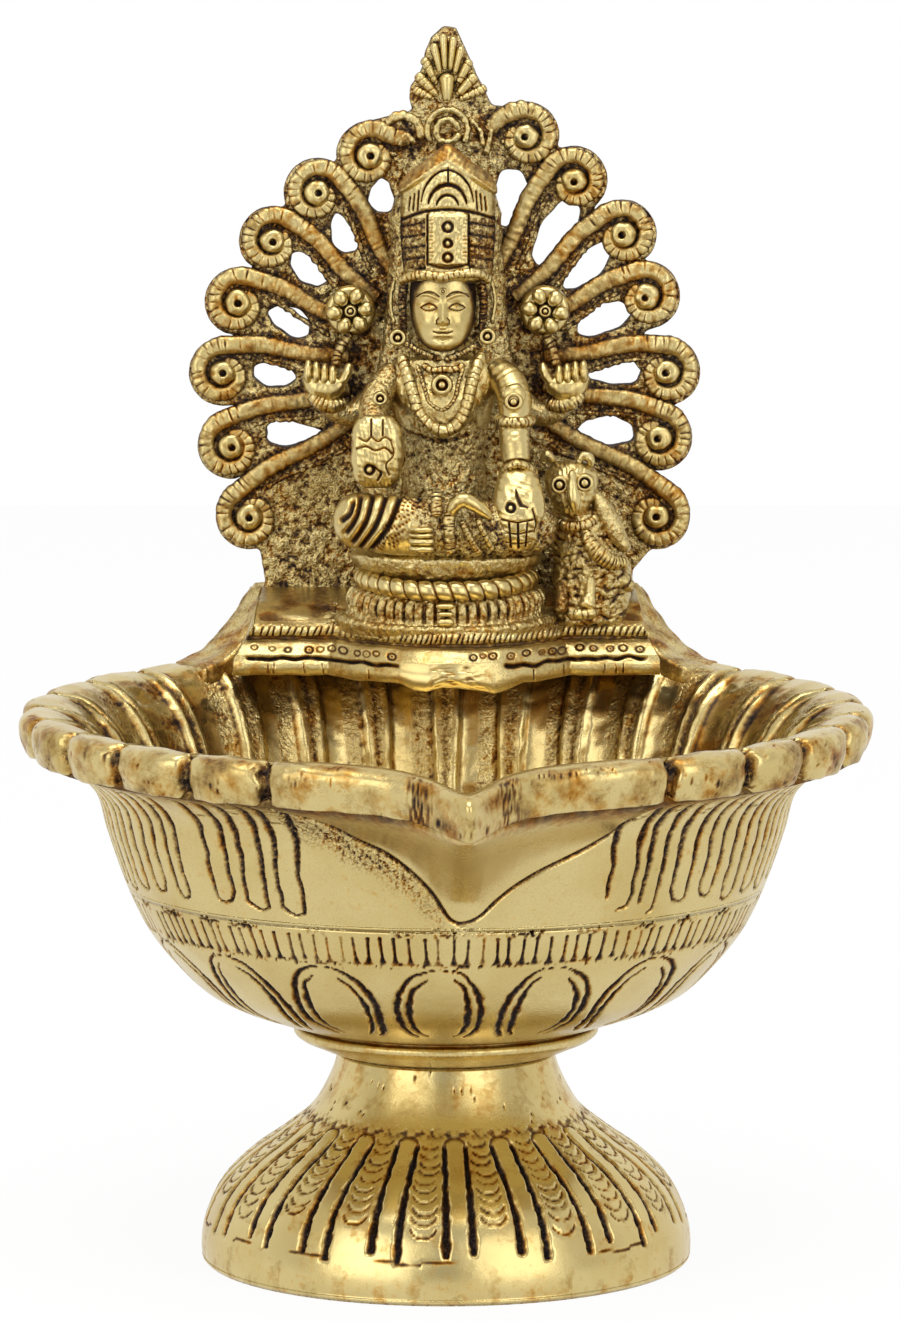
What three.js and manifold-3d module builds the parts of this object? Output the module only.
// Brass oil lamp: a fluted bowl with a pouring spout stands on a bell-shaped foot,
// and carries a ledge, a seated four-armed goddess on a lotus seat, an owl and an openwork halo.
// Millimetres, +Z up, the front of the lamp faces -Y.

import * as THREE from "three";
import { mergeVertices } from "three/addons/utils/BufferGeometryUtils.js";
import Module from "manifold-3d";

const wasm = await Module();
wasm.setup();

// Fits shared by all pieces
const seatGap = 0.3;
const cutOverrun = 2;
const mergeTolerance = 1e-5;

// Foot, a hollow bell casting
const footRadius = 37;
const footHeight = 31.5;
const footNeckRadius = 16.4;
const footWall = 3.2;
const footWebThickness = 8;
const footSides = 32;
// Height share from base to neck, then how far out the wall stands between neck and base
const footProfileShares = [
  [0, 1],
  [0.09, 1],
  [0.25, 0.94],
  [0.37, 0.85],
  [0.5, 0.66],
  [0.62, 0.4],
  [0.746, 0.175],
  [0.87, 0.06],
  [1, 0],
];

// Threaded stud that holds the bowl on the foot
const studRadius = 3.9;
const studRunningGap = 0.35;
const studInFoot = 7;
const studInBowl = 6.5;
const studChamfer = 0.6;
const studSides = 16;

// Bowl, cast with its collar, rim and spout
const collarRadius = 22.9;
const collarHeight = 3.4;
const collarFootRadius = 17;
const collarEdge = 1;
const bowlTopHeight = 52.2;
const bowlWall = 2.8;
const bowlFloorThickness = 11;
const rimRadius = 64.2;
const rimOverhang = 11.2;
const rimBandHeight = 6.4;
const rimDraft = 1.5;
const rimRise = 1.1;
const rimEdge = 0.8;
const notchDepth = 1.5;
const fluteDepth = 1.3;
const ribHeight = 0.55;
const lobesPerSide = 12;
const spoutReach = 14.4;
const spoutTipAngle = 2.4;
const spoutLeftAngle = 25.7;
const spoutRightAngle = 31.7;
const spoutSharpnessAngle = 4.6;
const leafFootShare = 0.58;
const spoutColumns = 12;
// Outer wall from the collar up to the rim: radius share of the wall, height share of the wall
const bowlProfileShares = [
  [0.44, 0],
  [0.66, 0.13],
  [0.774, 0.275],
  [0.847, 0.405],
  [0.905, 0.565],
  [0.962, 0.79],
  [1, 1],
];
// Inner wall from the rim down to the floor: radius share, height share of the cavity
const cavityProfileShares = [
  [0.97, 0.84],
  [0.87, 0.5],
  [0.7, 0.21],
  [0.38, 0.03],
];
// Where each lobe has its columns of points, from one notch to the next
const lobeColumnShares = [0.06, 0.2, 0.8, 0.94];

// Shoulder of the bowl, the web behind the ledge that carries the halo
const shoulderHeight = 11;
const shoulderFootHalf = 40;
const shoulderTopHalf = 31;
const shoulderInset = 1.6;
const shoulderThickness = 9.1;
const shoulderRoot = 3;

// Halo, an openwork plate of ribbed curls
const plateStandOff = 1.3;
const plateThickness = 4.4;
const haloCentreRise = 40.2;
const haloRadius = 35;
const plateCoreRadius = 30.6;
const plateFootHalf = 28;
const plateWaistHalf = 29;
const plateWaistDrop = 27;
const plateWaistAngle = 49.19;
const curlStepAngle = 17.9;
const firstCurlAngle = 19.2;
const curlsPerSide = 7;
const curlCoilRadius = 2.6;
const curlFlareReach = 2.1;
const curlFlareAngle = 60;
const curlEndAngle = 300;
const curlPointAngle = 45;
const curlTubeRadius = 1.75;
const curlEndRadius = 1.1;
const curlStandOff = 0.6;
const curlDiscRadius = 4.2;
const curlSteps = 11;
const eyeBossRadius = 1.75;
const hubSides = 7;
const stemInnerRadius = 15;
const holesPerSide = 6;
const holeRadius = 26.6;
const holeHalfLength = 4.2;
const holeHalfWidth = 2.2;
const holeTaperWidth = 0.35;
const holeTurnAngle = 1.5;
const holeSides = 6;
// How far each curl stands from the middle of the halo, and its turn from an even step
const curlReachShares = {
  left: [1.01, 0.975, 0.965, 0.975, 1, 1.02, 1.1],
  right: [1.1, 1.02, 0.99, 0.955, 0.985, 1, 1.14],
};
const curlTurnShares = {
  left: [0.02, -0.06, -0.09, -0.04, 0, 0.05, 0.02],
  right: [-0.03, -0.17, -0.13, -0.17, 0, -0.05, -0.09],
};
// Length and width of each opening, as shares of the plain opening
const holeSizeShares = {
  left: [[0.6, 0.85], [0.74, 0.86], [0.72, 0.95], [0.78, 1], [0.78, 0.86], [1.08, 0.84]],
  right: [[1.07, 1.1], [1.26, 1.3], [1.14, 0.86], [1.06, 0.98], [0.95, 0.82], [1.05, 1.06]],
};

// Finial on top of the halo
const finialHeight = 16;
const finialHalfWidth = 5.4;
const finialBossRadius = 1.9;
const finialBossRise = 37.2;
const finialRibRadius = 0.75;
const finialRibs = 5;

// Ledge that stands over the rear of the bowl
const ledgeHalfWidth = 32.5;
const ledgeRearHalf = 28.9;
const ledgeDepth = 16.2;
const ledgeBowReach = 12;
const ledgeBowHalfWidth = 18.3;
const ledgeFaceHeight = 5.2;
const ledgeRearRise = 6.6;
const ledgeBowDrop = 1.9;
const ledgeBowRise = 1.3;
const ledgeGroove = 0.9;
const ledgeClearance = 0.5;
const ledgeStations = 18;

// Rivets that clamp shoulder, halo and ledge together
const rivetRadius = 1.6;
const rivetSpacing = 36;
const rivetRise = 6.4;
const rivetHeadRadius = 3;
const rivetHeadHeight = 1.6;
const rivetDepthInLedge = 6;
const rivetSides = 8;

// Lotus seat, a rope ring over a band of petals
const seatHalfWidth = 17.2;
const seatDepth = 16;
const seatBackDepth = 9.2;
const seatHeight = 7.7;
const seatRise = 2.5;
const seatRopeRadius = 1.75;
const seatPetals = 26;
const seatPetalDepth = 0.55;
const seatRopePoints = 32;
const seatRopeSteps = 30;

// Goddess, seated with crossed legs
const kneeHalfSpan = 10.4;
const kneeHalfLength = 6.8;
const kneeHalfHeight = 5;
const kneeSetback = 1;
const torsoHalfWidth = 8.2;
const torsoHalfHeight = 11;
const torsoDepth = 6.2;
const torsoSetback = 1;
const shoulderSpan = 20;
const headHalfWidth = 5.3;
const headHalfHeight = 6;
const headDepth = 5.4;
const headRise = 39.7;
const headStandOff = 10.6;
const crownHeight = 18.5;
const crownRadius = 7.7;
const crownDepthShare = 0.8;
const hoodHalfWidth = 8.6;
const hoodThickness = 5.6;
const hoodRise = 26.1;
const armRadius = 2.4;
const wristRadius = 1.9;
const handLength = 8.6;
const handWidth = 6.6;
const handThickness = 3.2;
const bloomRadius = 4.1;
const bloomThickness = 2.6;
const bloomRise = 9.4;
const bloomSpan = 30;
const rearHandDrop = 9.5;
const rearHandSpan = 36.8;
const garlandRadius = 0.85;
const pendantRadius = 1.65;
const earringRadius = 1.4;
const earHalfHeight = 2.2;

// Owl beside the seat
const owlMiddle = 22.6;
const owlStandOff = 10.2;
const owlHalfWidth = 6;
const owlBodyHeight = 15.5;
const owlHeadRadius = 4.1;
const owlHeadRise = 20.1;
const owlHeadShift = 2.3;
const owlBeakRadius = 1.3;
const owlEarHeight = 2.4;
const owlWingThickness = 1.6;

// Heights and places worked out from the sizes above
const bowlBase = footHeight + seatGap;
const collarTop = bowlBase + collarHeight;
const bowlWallRadius = rimRadius - rimOverhang;
const rimTop = bowlBase + bowlTopHeight;
const rimBottom = rimTop - rimBandHeight;
const wallTop = rimBottom - rimBandHeight * 0.7;
const floorTop = bowlBase + bowlFloorThickness;
const ledgeBottom = rimTop + rimRise + ledgeClearance;
const ledgeTopFront = ledgeBottom + ledgeFaceHeight;
const shoulderOuterRadius = rimRadius - shoulderInset;
const shoulderInnerRadius = shoulderOuterRadius - shoulderThickness;
const plateRear = shoulderInnerRadius - plateStandOff;
const plateFace = plateRear - plateThickness;
const ledgeRear = plateFace - 2 * seatGap;
const ledgeFront = ledgeRear - ledgeDepth;
const haloCentreHeight = ledgeTopFront + haloCentreRise;
const plateWaistHeight = haloCentreHeight - plateWaistDrop;
const finialBossHeight = haloCentreHeight + finialBossRise;
const figureBack = ledgeRear;
const seatMiddle = figureBack - seatBackDepth;
const seatFront = seatMiddle - seatDepth;
const seatBaseHeight = ledgeTopFront + seatRise;
const seatTop = seatBaseHeight + seatHeight;
const headHeight = seatTop + headRise;
const headForward = figureBack - headStandOff;
const hoodTopHeight = headHeight + hoodRise;
const rearHandHeight = headHeight - rearHandDrop;
const bloomHeight = rearHandHeight + bloomRise;
const owlBase = ledgeTopFront + ledgeRearRise * 0.3;
const owlHeadHeight = owlBase + owlHeadRise;
const owlForward = ledgeRear - owlStandOff;
const lampShift = spoutReach / 2;
const halfTurn = 180;
const fullTurn = 360;
const degree = Math.PI / halfTurn;

const brass = { color: 0xc8a35a, roughness: 0.35, metalness: 1 };

// Joins rings of points into one closed skin, with flat or pointed ends, or end to end
function skin(rings, wrap = false) {
  const sides = rings[0].length;
  const positions = [];
  const triangles = [];
  for (const ring of rings) {
    for (const point of ring) {
      positions.push(point.x, point.y, point.z);
    }
  }
  const spans = wrap ? rings.length : rings.length - 1;
  for (let i = 0; i < spans; i++) {
    const here = i * sides;
    const next = ((i + 1) % rings.length) * sides;
    for (let j = 0; j < sides; j++) {
      const k = (j + 1) % sides;
      triangles.push(here + j, here + k, next + k);
      triangles.push(here + j, next + k, next + j);
    }
  }
  if (!wrap) {
    closeEnd(rings[0], 0, true, positions, triangles);
    closeEnd(rings[rings.length - 1], (rings.length - 1) * sides, false, positions, triangles);
  }
  const geometry = new THREE.BufferGeometry();
  geometry.setAttribute("position", new THREE.Float32BufferAttribute(positions, 3));
  geometry.setIndex(triangles);
  return facingOut(geometry);
}

// Closes one end of a skin with a fan about the middle of its ring
function closeEnd(ring, start, first, positions, triangles) {
  const middle = new THREE.Vector3();
  ring.forEach((point) => middle.add(point));
  middle.divideScalar(ring.length);
  const hub = positions.length / 3;
  positions.push(middle.x, middle.y, middle.z);
  for (let j = 0; j < ring.length; j++) {
    const k = (j + 1) % ring.length;
    triangles.push(...(first ? [hub, start + k, start + j] : [hub, start + j, start + k]));
  }
}

// Turns a closed skin the right way out
function facingOut(geometry) {
  const position = geometry.getAttribute("position");
  const index = geometry.getIndex().array;
  const [a, b, c] = [new THREE.Vector3(), new THREE.Vector3(), new THREE.Vector3()];
  let volume = 0;
  for (let i = 0; i < index.length; i += 3) {
    a.fromBufferAttribute(position, index[i]);
    b.fromBufferAttribute(position, index[i + 1]);
    c.fromBufferAttribute(position, index[i + 2]);
    volume += a.dot(b.cross(c));
  }
  if (volume < 0) {
    for (let i = 0; i < index.length; i += 3) {
      [index[i], index[i + 1]] = [index[i + 1], index[i]];
    }
  }
  return geometry;
}

// Makes a solid that can be joined and cut
function solid(geometry) {
  const bare = geometry.clone();
  bare.deleteAttribute("normal");
  bare.deleteAttribute("uv");
  const merged = mergeVertices(bare, mergeTolerance);
  return new wasm.Manifold(
    new wasm.Mesh({
      numProp: 3,
      vertProperties: new Float32Array(merged.getAttribute("position").array),
      triVerts: new Uint32Array(merged.getIndex().array),
    }),
  );
}

// Joins several geometries into one solid
function joined(geometries) {
  return geometries.map(solid).reduce((all, next) => all.add(next));
}

// Turns a cut solid back into a geometry
function geometryOf(body) {
  const mesh = body.getMesh();
  const geometry = new THREE.BufferGeometry();
  geometry.setAttribute("position", new THREE.Float32BufferAttribute(mesh.vertProperties, 3));
  geometry.setIndex(new THREE.Uint32BufferAttribute(mesh.triVerts, 1));
  geometry.computeVertexNormals();
  return geometry;
}

// A ball stretched to three half-sizes
function ball(x, y, z, halfX, halfY, halfZ, around = 8, up = 5) {
  const geometry = new THREE.SphereGeometry(1, around, up);
  geometry.rotateX(Math.PI / 2);
  geometry.scale(halfX, halfY, halfZ);
  geometry.translate(x, y, z);
  return geometry;
}

// A round bar along one axis, with its middle at a point
function bar(axis, radius, length, x, y, z, sides = 16) {
  const geometry = new THREE.CylinderGeometry(radius, radius, length, sides);
  if (axis === "z") {
    geometry.rotateX(Math.PI / 2);
  }
  if (axis === "x") {
    geometry.rotateZ(Math.PI / 2);
  }
  geometry.translate(x, y, z);
  return geometry;
}

// A box between two corners
function block(low, high) {
  const geometry = new THREE.BoxGeometry(high[0] - low[0], high[1] - low[1], high[2] - low[2]);
  geometry.translate((low[0] + high[0]) / 2, (low[1] + high[1]) / 2, (low[2] + high[2]) / 2);
  return geometry;
}

// A tube along a curve whose radius goes from one value to another
function taperedTube(points, startRadius, endRadius, steps, sides = 6, closed = false) {
  const curve = new THREE.CatmullRomCurve3(points, closed);
  const frames = curve.computeFrenetFrames(steps, closed);
  const rings = [];
  const count = closed ? steps : steps + 1;
  for (let i = 0; i < count; i++) {
    const middle = curve.getPointAt(i / steps);
    const radius = startRadius + ((endRadius - startRadius) * i) / steps;
    const ring = [];
    for (let j = 0; j < sides; j++) {
      const turn = ((j + 0.5) / sides) * 2 * Math.PI;
      ring.push(
        middle
          .clone()
          .addScaledVector(frames.normals[i], radius * Math.cos(turn))
          .addScaledVector(frames.binormals[i], radius * Math.sin(turn)),
      );
    }
    rings.push(ring);
  }
  return skin(rings, closed);
}

// A flat outline in the front view, given thickness towards the back
function frontPlate(shape, front, thickness, curveSegments = 8) {
  const settings = { depth: thickness, bevelEnabled: false, curveSegments };
  const geometry = new THREE.ExtrudeGeometry(shape, settings);
  geometry.rotateX(Math.PI / 2);
  geometry.translate(0, front + thickness, 0);
  return geometry;
}

// A ring of points at one height about the lamp's axis
function levelRing(radius, z, sides) {
  return Array.from({ length: sides }, (_, j) => {
    const turn = (j / sides) * 2 * Math.PI;
    return new THREE.Vector3(radius * Math.sin(turn), -radius * Math.cos(turn), z);
  });
}

// Moves an outline of [radius, height] pairs inwards by a wall thickness
function insetProfile(profile, wall) {
  return profile.map(([radius, z], i) => {
    const [beforeRadius, beforeZ] = profile[Math.max(i - 1, 0)];
    const [afterRadius, afterZ] = profile[Math.min(i + 1, profile.length - 1)];
    const run = Math.hypot(afterRadius - beforeRadius, afterZ - beforeZ);
    const [outR, outZ] = [(afterZ - beforeZ) / run, -(afterRadius - beforeRadius) / run];
    return [radius - wall * outR, z - wall * outZ];
  });
}

// Foot: bell-shaped wall, open below, with a tapped web in its neck
function makeFoot() {
  const outer = footProfileShares.map(([heightShare, outShare]) => [
    footNeckRadius + (footRadius - footNeckRadius) * outShare,
    footHeight * heightShare,
  ]);
  const webBottom = footHeight - footWebThickness;
  const hole = studRadius + studRunningGap;
  const inner = insetProfile(outer, footWall)
    .map(([radius, z], i) => [radius, i === 0 ? 0 : z])
    .filter(([radius, z]) => z < webBottom && radius > hole + footWall);
  const profile = [...outer, [hole, footHeight], [hole, webBottom], ...inner.reverse()];
  return skin(profile.map(([radius, z]) => levelRing(radius, z, footSides)), true);
}

// Stud: a plain bar with chamfered ends, standing in the foot and screwed into the bowl
function makeStud() {
  const low = footHeight - studInFoot;
  const high = bowlBase + studInBowl;
  const profile = [
    [studRadius - studChamfer, low],
    [studRadius, low + studChamfer],
    [studRadius, high - studChamfer],
    [studRadius - studChamfer, high],
  ];
  return skin(profile.map(([radius, z]) => levelRing(radius, z, studSides)));
}

// Directions of the bowl's columns of points, in degrees from the front towards the right
function bowlAngles() {
  const angles = [];
  for (let i = 0; i < spoutColumns; i++) {
    const along = (2 * i) / spoutColumns - 1;
    const eased = Math.sign(along) * Math.abs(along) ** 1.8;
    const half = along < 0 ? spoutTipAngle + spoutLeftAngle : spoutRightAngle - spoutTipAngle;
    angles.push(spoutTipAngle + eased * half);
  }
  const addLobes = (start, width) => {
    for (let lobe = 0; lobe < lobesPerSide; lobe++) {
      lobeColumnShares.forEach((share) => angles.push(start + width * (lobe + share)));
    }
  };
  addLobes(spoutRightAngle, (halfTurn - spoutRightAngle) / lobesPerSide);
  addLobes(halfTurn, (halfTurn - spoutLeftAngle) / lobesPerSide);
  return angles;
}

// How full a lobe stands at an angle: 0 in a notch, 1 across its crown and along the spout
function lobeFullness(angle) {
  const turn = ((angle % fullTurn) + fullTurn) % fullTurn;
  const leftStart = fullTurn - spoutLeftAngle;
  if (turn < spoutRightAngle || turn > leftStart) {
    return 1;
  }
  const [start, end] = turn < halfTurn ? [spoutRightAngle, halfTurn] : [halfTurn, leftStart];
  const within = (((turn - start) * lobesPerSide) / (end - start)) % 1;
  const fromNotch = Math.min(within, 1 - within);
  const [notchShare, crownShare] = lobeColumnShares;
  return Math.min(1, Math.max(0, (fromNotch - notchShare) / (crownShare - notchShare)));
}

// Degrees between an angle and the tip of the spout
function awayFromTip(angle) {
  return Math.abs(((angle - spoutTipAngle + fullTurn + halfTurn) % fullTurn) - halfTurn);
}

// How far the spout draws the rim outwards at an angle
function spoutPull(angle) {
  return spoutReach * Math.exp(-awayFromTip(angle) / spoutSharpnessAngle);
}

// Radius of the plain outer wall at a height share, from the profile
function wallRadiusAt(share) {
  const table = bowlProfileShares;
  const i = Math.max(1, table.findIndex(([, height]) => height >= share));
  const [[lowRadius, lowShare], [highRadius, highShare]] = [table[i - 1], table[i]];
  const part = (share - lowShare) / (highShare - lowShare);
  return bowlWallRadius * (lowRadius + (highRadius - lowRadius) * part);
}

// Points of the bowl's outline in one direction, from the collar's underside over the rim to the floor
function bowlSection(angle) {
  const full = lobeFullness(angle);
  const pull = spoutPull(angle);
  const away = awayFromTip(angle);
  const onTheLeft = angle < spoutTipAngle || angle > halfTurn;
  const half = onTheLeft ? spoutTipAngle + spoutLeftAngle : spoutRightAngle - spoutTipAngle;
  const rim = rimRadius - notchDepth * (1 - full) + pull;
  const rise = -rimRise * Math.cos(angle * degree);
  const section = [
    [collarFootRadius, bowlBase],
    [collarRadius, collarTop - collarEdge],
    [collarRadius, collarTop],
  ];
  const leafShare = leafFootShare + (1 - leafFootShare) * Math.min(1, away / half);
  for (const [, share] of bowlProfileShares) {
    const under = Math.max(0, (share - leafShare) / (1 - leafFootShare));
    const bulge = (rimRadius - rimDraft + pull - bowlWallRadius) * under ** 1.6 * 0.62;
    section.push([wallRadiusAt(share) + bulge, collarTop + (wallTop - collarTop) * share]);
  }
  section.push([rim - rimDraft, rimBottom + rise]);
  section.push([rim, rimTop - rimEdge + rise]);
  section.push([rim - rimEdge, rimTop + rise]);
  const inner = bowlWallRadius - bowlWall;
  const lip = rimRadius - inner;
  const sunk = fluteDepth * (full - 1);
  section.push([inner + lip * 0.52 + pull * 0.92, rimTop - rimEdge + rise]);
  section.push([inner + lip * 0.24 + pull * 0.7 + sunk, rimTop - rimBandHeight / 2 + rise]);
  for (const [radiusShare, heightShare] of cavityProfileShares) {
    const fade = Math.max(0, heightShare - 0.15);
    const rib = ribHeight * (1 - full) * Math.min(1, fade * 4);
    const drawn = pull * 0.75 * Math.max(0, heightShare - 0.5);
    section.push([
      inner * radiusShare + fluteDepth * (full - 0.6) * fade - rib + drawn,
      floorTop + (rimBottom - floorTop) * heightShare,
    ]);
  }
  return section;
}

// Shoulder: a curved web on the rear rim, with room for the halo's foot and the ledge
function makeShoulder() {
  const low = rimTop - shoulderRoot;
  const high = rimTop + shoulderHeight;
  const sector = new THREE.Shape();
  const reach = Math.asin(shoulderFootHalf / shoulderInnerRadius);
  sector.absarc(0, 0, shoulderOuterRadius, Math.PI / 2 - reach, Math.PI / 2 + reach, false);
  sector.absarc(0, 0, shoulderInnerRadius, Math.PI / 2 + reach, Math.PI / 2 - reach, true);
  sector.closePath();
  const settings = { depth: high - low, bevelEnabled: false, curveSegments: 8 };
  const wall = new THREE.ExtrudeGeometry(sector, settings);
  wall.translate(0, 0, low);
  const front = new THREE.Shape();
  const waist = rimTop + rimRise;
  front.moveTo(-shoulderFootHalf, low);
  front.lineTo(-shoulderFootHalf, waist);
  front.quadraticCurveTo(-shoulderTopHalf, waist + shoulderHeight / 4, -shoulderTopHalf, high);
  front.lineTo(shoulderTopHalf, high);
  front.quadraticCurveTo(shoulderTopHalf, waist + shoulderHeight / 4, shoulderFootHalf, waist);
  front.lineTo(shoulderFootHalf, low);
  front.closePath();
  const outline = frontPlate(front, 0, shoulderOuterRadius + cutOverrun, 3);
  const plan = new THREE.Shape();
  const [wide, narrow] = [ledgeHalfWidth + seatGap, ledgeRearHalf + seatGap];
  plan.moveTo(-wide, ledgeFront);
  plan.lineTo(wide, ledgeFront);
  plan.lineTo(narrow, ledgeRear);
  plan.lineTo(narrow, plateRear + seatGap);
  plan.lineTo(-narrow, plateRear + seatGap);
  plan.lineTo(-narrow, ledgeRear);
  plan.closePath();
  const room = new THREE.ExtrudeGeometry(plan, { depth: high - low, bevelEnabled: false });
  room.translate(0, 0, ledgeBottom - seatGap);
  return solid(wall).intersect(solid(outline)).subtract(solid(room));
}

// Bowl: fluted wall with its spout, the shoulder, and blind holes for stud and rivets
function makeBowl() {
  const sections = bowlAngles().map((angle) => {
    const [east, north] = [Math.sin(angle * degree), -Math.cos(angle * degree)];
    return bowlSection(angle).map(([radius, z]) => new THREE.Vector3(radius * east, radius * north, z));
  });
  const rings = sections[0].map((_, level) => sections.map((section) => section[level]));
  const hole = bar(
    "z",
    studRadius + studRunningGap,
    studInBowl + seatGap + cutOverrun,
    0,
    0,
    bowlBase + (studInBowl + seatGap - cutOverrun) / 2,
    studSides,
  );
  let bowl = solid(skin(rings)).add(makeShoulder()).subtract(solid(hole));
  for (const x of rivetPlaces()) {
    bowl = bowl.subtract(solid(rivetHole(x))).subtract(solid(rivetSpotFace(x)));
  }
  return geometryOf(bowl);
}

// Where the rivets stand, left and right of the middle
function rivetPlaces() {
  return [-rivetSpacing / 2, rivetSpacing / 2];
}

// The bore that a rivet passes through
function rivetHole(x) {
  const front = ledgeRear - rivetDepthInLedge - seatGap;
  const length = rimRadius + cutOverrun - front;
  const z = ledgeBottom + rivetRise;
  return bar("y", rivetRadius + seatGap, length, x, front + length / 2, z, rivetSides);
}

// Depth of the flat that is filed on the curved shoulder for a rivet head
function rivetFlat(x) {
  return Math.sqrt(shoulderOuterRadius ** 2 - (Math.abs(x) + rivetHeadRadius) ** 2);
}

// The filed flat, as the room to be cut away behind it
function rivetSpotFace(x) {
  const length = rimRadius + cutOverrun - rivetFlat(x);
  const middle = rivetFlat(x) + length / 2;
  return bar("y", rivetHeadRadius + seatGap, length, x, middle, ledgeBottom + rivetRise, rivetSides);
}

// Rivets: round shanks with a domed head at the back of the shoulder
function makeRivet(x) {
  const z = ledgeBottom + rivetRise;
  const front = ledgeRear - rivetDepthInLedge;
  const seat = rivetFlat(x) + seatGap;
  const profile = [
    [rivetRadius, front],
    [rivetRadius, seat],
    [rivetHeadRadius, seat],
    [rivetHeadRadius * 0.92, seat + rivetHeadHeight * 0.5],
    [rivetHeadRadius * 0.5, seat + rivetHeadHeight],
  ];
  const rings = profile.map(([radius, y]) =>
    Array.from({ length: rivetSides }, (_, j) => {
      const turn = (j / rivetSides) * 2 * Math.PI;
      return new THREE.Vector3(x + radius * Math.cos(turn), y, z + radius * Math.sin(turn));
    }),
  );
  return skin(rings);
}

// How far forward the ledge's bow stands at a place across it, as a share
function bowShare(x) {
  return Math.abs(x) < ledgeBowHalfWidth ? Math.cos((Math.PI * x) / (2 * ledgeBowHalfWidth)) ** 2 : 0;
}

// Ledge: a sloping pillow with a grooved front edge that bows forward in the middle
function makeLedge() {
  const rings = [];
  for (let i = 0; i <= ledgeStations; i++) {
    const across = (2 * i) / ledgeStations - 1;
    const bow = bowShare(across * ledgeHalfWidth);
    const front = ledgeFront - ledgeBowReach * bow;
    const bottom = ledgeBottom - ledgeBowDrop * bow;
    const top = ledgeTopFront + ledgeBowRise * bow;
    const face = top - bottom;
    const rearTop = ledgeTopFront + ledgeRearRise;
    const depth = ledgeRear - front;
    const outline = [
      [ledgeRear, ledgeBottom],
      [front + depth * 0.5, ledgeBottom],
      [front + ledgeGroove, bottom],
      [front, bottom + face * 0.16],
      [front, bottom + face * 0.36],
      [front + ledgeGroove, bottom + face * 0.44],
      [front + ledgeGroove, bottom + face * 0.52],
      [front + ledgeGroove * 0.3, bottom + face * 0.6],
      [front + ledgeGroove * 0.3, bottom + face * 0.92],
      [front + ledgeGroove * 1.3, top],
      [front + depth * 0.22, top + (rearTop - top) * 0.42],
      [front + depth * 0.55, top + (rearTop - top) * 0.78],
      [ledgeRear, rearTop],
    ];
    rings.push(
      outline.map(([y, z]) => {
        const back = Math.max(0, (y - ledgeFront) / (ledgeRear - ledgeFront));
        const half = ledgeHalfWidth + (ledgeRearHalf - ledgeHalfWidth) * back;
        return new THREE.Vector3(across * half, y, z);
      }),
    );
  }
  let ledge = solid(skin(rings));
  const pocket = solid(seatOutline(seatGap, seatHeight + seatGap, seatBaseHeight - seatGap));
  ledge = ledge.subtract(pocket);
  for (const x of rivetPlaces()) {
    ledge = ledge.subtract(solid(rivetHole(x)));
  }
  return ledge;
}

// Plan of the lotus seat, grown by a clearance, as an upright prism
function seatOutline(grow, height, base) {
  const shape = new THREE.Shape();
  const back = figureBack + grow * 2;
  const depth = seatMiddle - seatFront + grow;
  const half = seatHalfWidth + grow;
  const rear = Math.asin(Math.min(1, (figureBack - seatMiddle) / (seatMiddle - seatFront)));
  const corner = half * Math.cos(rear);
  shape.moveTo(corner, back);
  shape.lineTo(-corner, back);
  shape.absellipse(0, seatMiddle, half, depth, Math.PI - rear, 2 * Math.PI + rear, false);
  shape.closePath();
  const settings = { depth: height, bevelEnabled: false, curveSegments: 20 };
  const geometry = new THREE.ExtrudeGeometry(shape, settings);
  geometry.translate(0, 0, base);
  return geometry;
}

// A point on the seat's rim, drawn in or out by a length
function seatPoint(turn, offset, z) {
  const half = seatHalfWidth + offset;
  const depth = seatMiddle - seatFront + offset;
  return new THREE.Vector3(half * Math.sin(turn), seatMiddle - depth * Math.cos(turn), z);
}

// Lotus seat: a ribbed band of petals with a rope ring above it
function makeSeat() {
  const rope = seatBaseHeight + seatHeight - seatRopeRadius;
  const levels = [
    [-seatPetalDepth, 0, 0],
    [0, 0.06, 1],
    [0, 0.4, 1],
    [-2 * seatPetalDepth, 0.48, 0],
    [-4 * seatPetalDepth, 0.55, 0],
    [-4 * seatPetalDepth, 0.93, 0],
  ];
  const rings = levels.map(([offset, heightShare, ribbed]) =>
    Array.from({ length: 2 * seatPetals }, (_, j) => {
      const turn = (j / (2 * seatPetals)) * 2 * Math.PI;
      const carved = offset - (j % 2) * ribbed * seatPetalDepth;
      return seatPoint(turn, carved, seatBaseHeight + seatHeight * heightShare);
    }),
  );
  const ropePath = Array.from({ length: seatRopePoints }, (_, j) =>
    seatPoint((j / seatRopePoints) * 2 * Math.PI, -seatRopeRadius - seatPetalDepth, rope),
  );
  const ring = taperedTube(ropePath, seatRopeRadius, seatRopeRadius, seatRopeSteps, 6, true);
  const drum = joined([skin(rings), ring]);
  const behind = block(
    [-2 * seatHalfWidth, figureBack, 0],
    [2 * seatHalfWidth, 2 * figureBack, 2 * seatBaseHeight],
  );
  return drum.subtract(solid(behind));
}

// Direction outwards and upwards round the halo at an angle from the top
function haloFrame(side, angle) {
  const mirror = side === "left" ? -1 : 1;
  const [sine, cosine] = [Math.sin(angle * degree), Math.cos(angle * degree)];
  return {
    out: new THREE.Vector3(mirror * sine, 0, cosine),
    up: new THREE.Vector3(-mirror * cosine, 0, sine),
  };
}

// Angle from the top at which a curl's eye stands
function curlAngle(side, i) {
  return firstCurlAngle + curlStepAngle * (i + curlTurnShares[side][i]);
}

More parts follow.
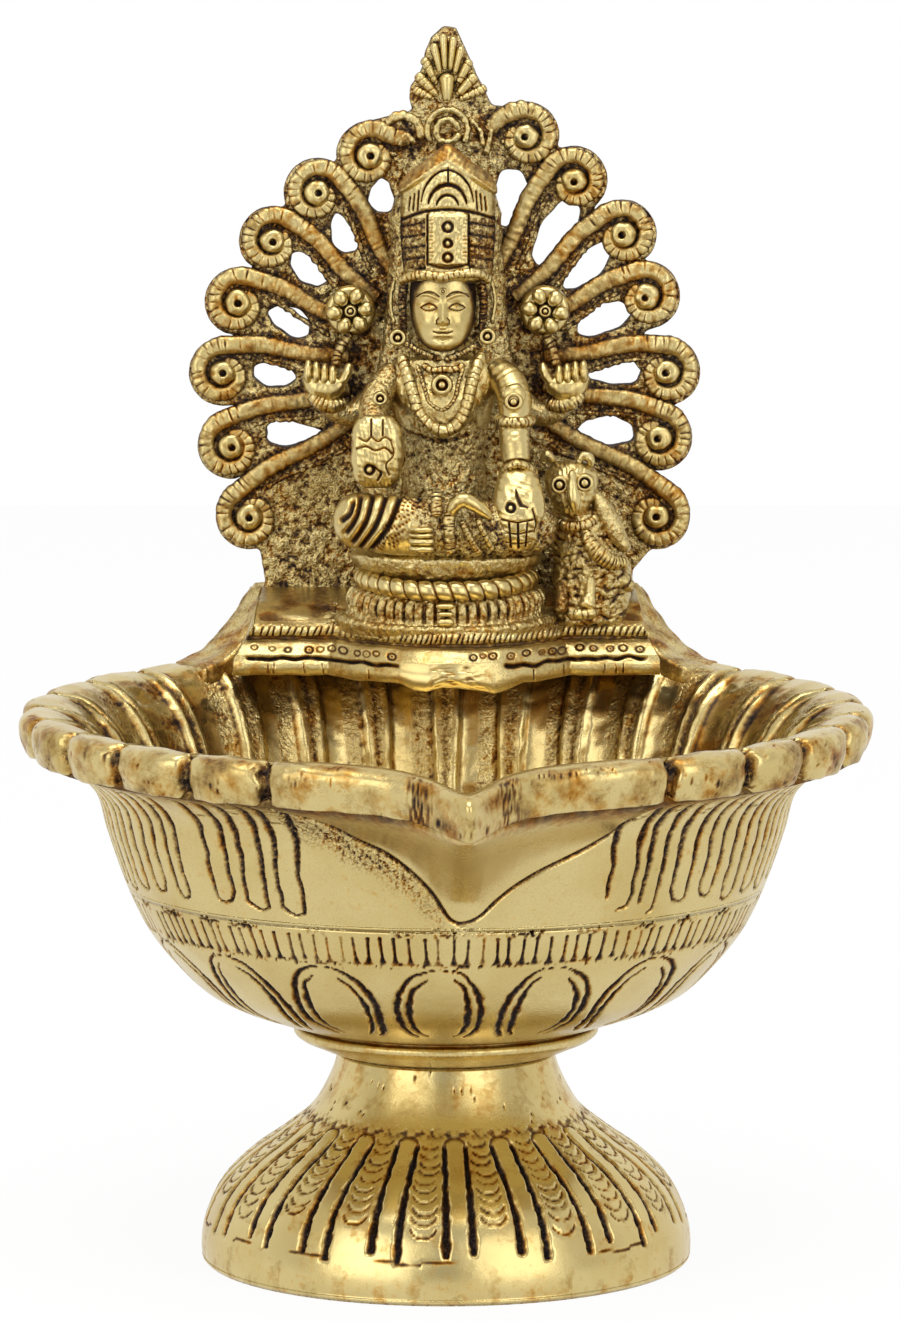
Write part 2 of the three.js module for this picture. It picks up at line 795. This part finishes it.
// Middle of a curl's eye
function curlEye(side, i) {
  const reach = haloRadius * curlReachShares[side][i];
  const eye = haloFrame(side, curlAngle(side, i)).out.multiplyScalar(reach);
  return eye.add(new THREE.Vector3(0, plateFace - curlStandOff, haloCentreHeight));
}

// Path of one ribbed curl: a stem from the middle that winds over and round its eye
function curlPath(side, i) {
  const { out, up } = haloFrame(side, curlAngle(side, i));
  const stem = haloFrame(side, curlAngle(side, i) - curlStepAngle / 2).out;
  const middle = new THREE.Vector3(0, plateFace - curlStandOff / 2, haloCentreHeight);
  const eye = curlEye(side, i);
  const points = [middle.clone().addScaledVector(stem, stemInnerRadius)];
  for (let turn = -curlFlareAngle; turn <= curlEndAngle; turn += curlPointAngle) {
    const radius = curlCoilRadius + curlFlareReach * Math.exp(-turn / curlFlareAngle);
    points.push(
      eye
        .clone()
        .addScaledVector(up, radius * Math.cos(turn * degree))
        .addScaledVector(out, radius * Math.sin(turn * degree)),
    );
  }
  return points;
}

// Disc of plate under a curl, domed at the front to carry the coil and the eye
function curlHub(eye) {
  const profile = [
    [curlDiscRadius, plateRear],
    [curlDiscRadius, plateFace],
    [eyeBossRadius * 0.8, plateFace - curlTubeRadius * 1.3],
  ];
  const rings = profile.map(([radius, y]) =>
    Array.from({ length: hubSides }, (_, j) => {
      const turn = (j / hubSides) * 2 * Math.PI;
      return new THREE.Vector3(eye.x + radius * Math.cos(turn), y, eye.z + radius * Math.sin(turn));
    }),
  );
  return skin(rings);
}

// One opening between two stems, wider at the front
function haloHole(side, i) {
  const angle = firstCurlAngle + curlStepAngle * i + holeTurnAngle;
  const { out } = haloFrame(side, angle);
  const [lengthShare, widthShare] = holeSizeShares[side][i];
  const middle = out.clone().multiplyScalar(holeRadius);
  const levels = [
    [plateFace - curlTubeRadius - cutOverrun, holeTaperWidth],
    [plateRear + cutOverrun, -holeTaperWidth],
  ];
  const rings = levels.map(([y, grow]) =>
    Array.from({ length: holeSides }, (_, j) => {
      const turn = (j / holeSides) * 2 * Math.PI;
      const along = (holeHalfLength * lengthShare + grow) * Math.cos(turn);
      const across = (holeHalfWidth * widthShare + grow) * Math.sin(turn);
      const x = middle.x + along * out.x + across * out.z;
      const z = middle.z + along * out.z - across * out.x;
      return new THREE.Vector3(x, y, haloCentreHeight + z);
    }),
  );
  return skin(rings);
}

// Flat plate behind the curls, with its foot between shoulder and ledge
function haloPlate() {
  const shape = new THREE.Shape();
  const foot = ledgeBottom + seatGap;
  const waist = plateWaistAngle * degree;
  shape.moveTo(-plateFootHalf, foot);
  shape.lineTo(plateFootHalf, foot);
  shape.lineTo(plateFootHalf, plateWaistHeight - plateThickness);
  shape.lineTo(plateWaistHalf, plateWaistHeight);
  const down = -Math.PI / 2;
  shape.absarc(0, haloCentreHeight, plateCoreRadius, down + waist, down + 2 * Math.PI - waist, false);
  shape.lineTo(-plateWaistHalf, plateWaistHeight);
  shape.lineTo(-plateFootHalf, plateWaistHeight - plateThickness);
  shape.closePath();
  return frontPlate(shape, plateFace, plateThickness, 10);
}

// Finial: a pointed leaf with fanned ribs over a round boss
function haloFinial() {
  const shape = new THREE.Shape();
  const base = finialBossHeight - finialBossRadius;
  const tip = finialBossHeight + finialHeight;
  const [middle, neck, top] = [0.5, 0.8, 1].map((heightShare) => base + finialHeight * heightShare);
  const [belly, waist, point] = [1.1, 0.5, 0.3].map((widthShare) => finialHalfWidth * widthShare);
  shape.moveTo(-finialHalfWidth, base);
  shape.lineTo(finialHalfWidth, base);
  shape.quadraticCurveTo(belly, middle, waist, neck);
  shape.quadraticCurveTo(point, top, 0, tip);
  shape.quadraticCurveTo(-point, top, -waist, neck);
  shape.quadraticCurveTo(-belly, middle, -finialHalfWidth, base);
  const parts = [frontPlate(shape, plateFace - curlStandOff, plateThickness + curlStandOff, 5)];
  const root = new THREE.Vector3(0, plateFace - curlStandOff, finialBossHeight);
  for (let i = 0; i < finialRibs; i++) {
    const lean = ((i / (finialRibs - 1)) * 2 - 1) * 0.42;
    const length = finialHeight * (0.86 - 0.9 * Math.abs(lean));
    const end = root.clone().add(new THREE.Vector3(Math.sin(lean) * length, 0, Math.cos(lean) * length));
    parts.push(taperedTube([root, end], finialRibRadius, finialRibRadius * 0.7, 1, 6));
  }
  parts.push(ball(...root.toArray(), finialBossRadius, finialBossRadius, finialBossRadius, 8, 5));
  return parts;
}

// Halo: plate, curls with their eyes, openings and finial in one casting
function makeHalo() {
  const parts = [haloPlate(), ...haloFinial()];
  for (const side of ["left", "right"]) {
    for (let i = 0; i < curlsPerSide; i++) {
      const eye = curlEye(side, i);
      parts.push(curlHub(eye));
      parts.push(taperedTube(curlPath(side, i), curlTubeRadius, curlEndRadius, curlSteps, 5));
    }
  }
  let halo = joined(parts);
  for (const side of ["left", "right"]) {
    for (let i = 0; i < holesPerSide; i++) {
      halo = halo.subtract(solid(haloHole(side, i)));
    }
  }
  for (const x of rivetPlaces()) {
    halo = halo.subtract(solid(rivetHole(x)));
  }
  const below = block(
    [-plateFootHalf * 2, 0, 0],
    [plateFootHalf * 2, plateFace, ledgeTopFront + ledgeRearRise + seatGap],
  );
  return halo.subtract(solid(below));
}

// A limb through points given across, forward and up
function limb(points, startRadius, endRadius, steps = 4, sides = 6) {
  const path = points.map(([x, y, z]) => new THREE.Vector3(x, y, z));
  return taperedTube(path, startRadius, endRadius, steps, sides);
}

// Crossed legs under a draped cloth
function figureLegs() {
  const kneeZ = seatTop + kneeHalfHeight;
  const front = seatMiddle - kneeHalfLength;
  const knee = [kneeHalfLength, kneeHalfLength * 1.15, kneeHalfHeight];
  const shins = [kneeHalfSpan * 1.2, kneeHalfLength * 0.75, kneeHalfHeight * 0.9];
  const lap = [kneeHalfSpan, kneeHalfLength, kneeHalfHeight];
  return [
    ball(-kneeHalfSpan, front + kneeSetback, kneeZ, ...knee, 8, 5),
    ball(kneeHalfSpan, front + kneeSetback, kneeZ, ...knee, 8, 5),
    ball(0, front - kneeHalfLength * 0.2, seatTop + kneeHalfHeight * 0.7, ...shins, 8, 5),
    ball(0, seatMiddle, seatTop + kneeHalfHeight * 0.6, ...lap, 8, 5),
  ];
}

// Torso, shoulders and neck
function figureTorso() {
  const waist = seatTop + torsoHalfHeight + kneeHalfHeight * 0.6;
  const chest = waist + torsoHalfHeight * 0.5;
  const forward = seatMiddle + torsoSetback;
  const breastX = torsoHalfWidth * 0.45;
  const breastY = forward - torsoDepth * 0.75;
  const breast = [torsoHalfWidth * 0.4, torsoDepth * 0.45, torsoHalfWidth * 0.42];
  const shoulders = [shoulderSpan / 2, torsoDepth * 0.8, torsoHalfHeight * 0.42];
  return [
    ball(0, forward, waist, torsoHalfWidth, torsoDepth, torsoHalfHeight, 8, 6),
    ball(0, forward, chest + torsoHalfHeight * 0.35, ...shoulders, 8, 5),
    ball(-breastX, breastY, chest, ...breast, 8, 5),
    ball(breastX, breastY, chest, ...breast, 8, 5),
    limb([[0, forward, chest], [0, headForward, headHeight]], headHalfWidth * 0.62, headHalfWidth * 0.5, 2),
  ];
}

// Head with earrings, tall crown and the hood behind it
function figureHead() {
  const crownBase = headHeight + headHalfHeight * 0.7;
  const crownShares = [
    [0.8, 0],
    [1.02, 0.1],
    [1, 0.34],
    [0.9, 0.55],
    [0.72, 0.75],
    [0.45, 0.92],
    [0.15, 1],
  ];
  const crown = skin(
    crownShares.map(([radiusShare, heightShare]) =>
      levelRing(crownRadius * radiusShare, crownBase + crownHeight * heightShare, 12),
    ),
  );
  crown.scale(1, crownDepthShare, 1);
  crown.translate(0, headForward, 0);
  const hood = new THREE.Shape();
  const shoulders = headHeight - 2 * headHalfHeight;
  const eaves = crownBase + crownHeight * 0.7;
  hood.moveTo(-hoodHalfWidth, shoulders);
  hood.lineTo(hoodHalfWidth, shoulders);
  hood.lineTo(hoodHalfWidth * 1.05, crownBase);
  hood.lineTo(hoodHalfWidth * 0.85, eaves);
  hood.lineTo(0, hoodTopHeight);
  hood.lineTo(-hoodHalfWidth * 0.85, eaves);
  hood.lineTo(-hoodHalfWidth * 1.05, crownBase);
  hood.closePath();
  return [
    ball(0, headForward, headHeight, headHalfWidth, headDepth, headHalfHeight, 9, 7),
    crown,
    frontPlate(hood, figureBack - hoodThickness, hoodThickness),
    ...[-1, 1].flatMap((side) => earWithRing(side)),
  ];
}

// One ear with the round earring that hangs from it
function earWithRing(side) {
  const ear = [side * headHalfWidth, headForward, headHeight - earHalfHeight / 2];
  const ring = [ear[0] + side * earringRadius, headForward, ear[2] - earHalfHeight];
  return [
    ball(...ear, earringRadius, earringRadius, earHalfHeight, 6, 5),
    ball(...ring, earringRadius, earringRadius * 0.8, earringRadius, 6, 5),
  ];
}

// Rear arms, raised, each holding a lotus bloom
function rearArm(side) {
  const hand = [(side * rearHandSpan) / 2, figureBack - handThickness, rearHandHeight];
  const bloom = [(side * bloomSpan) / 2, figureBack - handThickness, bloomHeight];
  const shoulderZ = rearHandHeight - handLength * 0.6;
  const elbowZ = rearHandHeight - handLength * 0.95;
  const shoulder = [side * shoulderSpan * 0.42, seatMiddle + armRadius * 1.8, shoulderZ];
  const elbow = [side * shoulderSpan * 0.76, figureBack - armRadius * 1.6, elbowZ];
  const [x, y, z] = bloom;
  const pip = [bloomRadius * 0.4, bloomThickness * 0.5, bloomRadius * 0.4];
  return [
    limb([shoulder, elbow, hand], armRadius, wristRadius),
    ball(...hand, handWidth * 0.48, handThickness, handLength * 0.5, 6, 5),
    limb([hand, bloom], wristRadius * 0.9, wristRadius * 0.7, 2),
    bar("y", bloomRadius, bloomThickness, x, y - bloomThickness / 2, z, 12),
    ball(x, y - bloomThickness, z, ...pip, 6, 5),
  ];
}

// Front arm on the viewer's left, its palm raised in blessing
function blessingArm() {
  const palm = [-shoulderSpan * 0.52, seatMiddle - torsoDepth * 1.35, seatTop + torsoHalfHeight * 1.72];
  const shoulder = [-shoulderSpan * 0.47, seatMiddle, seatTop + torsoHalfHeight * 2.4];
  const elbow = [-shoulderSpan * 0.66, seatMiddle - torsoDepth * 0.4, seatTop + torsoHalfHeight * 1.2];
  return [
    limb([shoulder, elbow, palm], armRadius, wristRadius),
    ball(palm[0], palm[1], palm[2], handWidth * 0.56, handThickness * 0.75, handLength * 0.6, 6, 5),
  ];
}

// Front arm on the viewer's right, its palm open downwards
function givingArm() {
  const palm = [shoulderSpan * 0.55, seatMiddle - torsoDepth * 1.75, seatTop + torsoHalfHeight * 0.95];
  const wrist = [shoulderSpan * 0.54, seatMiddle - torsoDepth * 1.3, seatTop + torsoHalfHeight * 1.5];
  const shoulder = [shoulderSpan * 0.47, seatMiddle, seatTop + torsoHalfHeight * 2.4];
  const elbow = [shoulderSpan * 0.6, seatMiddle - torsoDepth * 0.5, seatTop + torsoHalfHeight * 1.9];
  const hand = [handWidth * 0.52, handThickness * 0.7, handLength * 0.62];
  return [
    limb([shoulder, elbow, wrist, palm], armRadius, wristRadius),
    ball(palm[0], palm[1], palm[2] - handLength * 0.15, ...hand, 6, 5),
  ];
}

// Garland hanging in a V, with a round pendant above it
function figureGarland() {
  const chest = seatTop + torsoHalfHeight * 2.35;
  const front = seatMiddle - torsoDepth * 0.62;
  const side = headHalfWidth * 0.85;
  const path = [
    [-side, seatMiddle, chest + torsoHalfHeight * 0.4],
    [-side, front + garlandRadius * 0.5, chest],
    [-side * 0.8, front - garlandRadius * 2, seatTop + torsoHalfHeight * 1.95],
    [0, front - garlandRadius * 2.2, seatTop + torsoHalfHeight * 1.6],
    [side * 0.8, front - garlandRadius * 2, seatTop + torsoHalfHeight * 1.95],
    [side, front + garlandRadius * 0.5, chest],
    [side, seatMiddle, chest + torsoHalfHeight * 0.4],
  ];
  return [
    limb(path, garlandRadius, garlandRadius, 10, 5),
    bar("y", pendantRadius, torsoDepth, 0, front + torsoDepth / 2, chest, 8),
  ];
}

// Goddess: one casting, flat at the back, resting on the seat
function makeGoddess(seat, halo) {
  const body = joined([
    ...figureLegs(),
    ...figureTorso(),
    ...figureHead(),
    ...rearArm(-1),
    ...rearArm(1),
    ...blessingArm(),
    ...givingArm(),
    ...figureGarland(),
  ]);
  const behind = block(
    [-haloRadius, figureBack, 0],
    [haloRadius, 2 * figureBack, 2 * haloCentreHeight],
  );
  const below = block([-haloRadius, 0, 0], [haloRadius, 2 * figureBack, seatBaseHeight + seatHeight * 0.6]);
  return body
    .subtract(solid(behind))
    .subtract(solid(below))
    .subtract(seat.translate([0, 0, seatGap]))
    .subtract(halo.translate([0, -seatGap, 0]))
    .subtract(halo);
}

// Owl: a small bird standing on the ledge
function makeOwl(ledge) {
  const headX = owlMiddle - owlHeadShift;
  const headY = owlForward - owlHeadRadius * 0.6;
  const bodyZ = owlBase + owlBodyHeight / 2;
  const wingX = owlHalfWidth * 0.75;
  const beakRoot = [headX, headY - owlHeadRadius * 0.8, owlHeadHeight - owlBeakRadius];
  const beakTip = [headX, headY - owlHeadRadius * 1.25, owlHeadHeight - owlBeakRadius * 2];
  const neck = [[owlMiddle, owlForward, bodyZ], [headX, headY, owlHeadHeight]];
  const body = [owlHalfWidth, owlHalfWidth * 0.9, owlBodyHeight * 0.56];
  const outerWing = [owlWingThickness * 1.6, owlHalfWidth * 0.8, owlBodyHeight * 0.4];
  const innerWing = [owlWingThickness, owlHalfWidth * 0.7, owlBodyHeight * 0.38];
  const parts = [
    ball(owlMiddle, owlForward, bodyZ, ...body, 8, 6),
    ball(headX, headY, owlHeadHeight, owlHeadRadius, owlHeadRadius * 0.95, owlHeadRadius, 8, 6),
    limb(neck, owlHalfWidth * 0.75, owlHeadRadius * 0.7, 3),
    limb([beakRoot, beakTip], owlBeakRadius, owlBeakRadius * 0.3, 2),
    ball(owlMiddle + wingX, owlForward, bodyZ + owlWingThickness, ...outerWing, 6, 5),
    ball(owlMiddle - wingX, owlForward, bodyZ + owlWingThickness, ...innerWing, 6, 5),
  ];
  for (const side of [-1, 1]) {
    const earX = headX + side * owlHeadRadius * 0.6;
    const earRoot = [earX, headY, owlHeadHeight + owlHeadRadius * 0.6];
    const earTip = [earX, headY, owlHeadHeight + owlHeadRadius + owlEarHeight / 2];
    parts.push(limb([earRoot, earTip], owlEarHeight / 2, owlEarHeight / 6, 2));
    const footX = owlMiddle + side * owlHalfWidth * 0.45;
    const foot = [footX, owlForward - owlHalfWidth * 0.8, owlBase + owlBeakRadius];
    parts.push(ball(...foot, owlBeakRadius * 1.4, owlBeakRadius * 2, owlBeakRadius * 1.3, 6, 5));
  }
  return joined(parts).subtract(ledge.translate([0, 0, seatGap]));
}

const lamp = new THREE.Group();
lamp.position.y = lampShift;

// Adds one named piece to the lamp
function place(name, geometry) {
  const mesh = new THREE.Mesh(geometry, new THREE.MeshStandardMaterial(brass));
  mesh.name = name;
  lamp.add(mesh);
}

const ledge = makeLedge();
const seat = makeSeat();
const halo = makeHalo();

place("foot", makeFoot());
place("threaded_stud", makeStud());
place("bowl", makeBowl());
place("ledge", geometryOf(ledge));
place("halo", geometryOf(halo));
place("lotus_seat", geometryOf(seat));
place("goddess", geometryOf(makeGoddess(seat, halo)));
place("owl", geometryOf(makeOwl(ledge)));
rivetPlaces().forEach((x, i) => place(`rivet_${["left", "right"][i]}`, makeRivet(x)));

export default lamp;
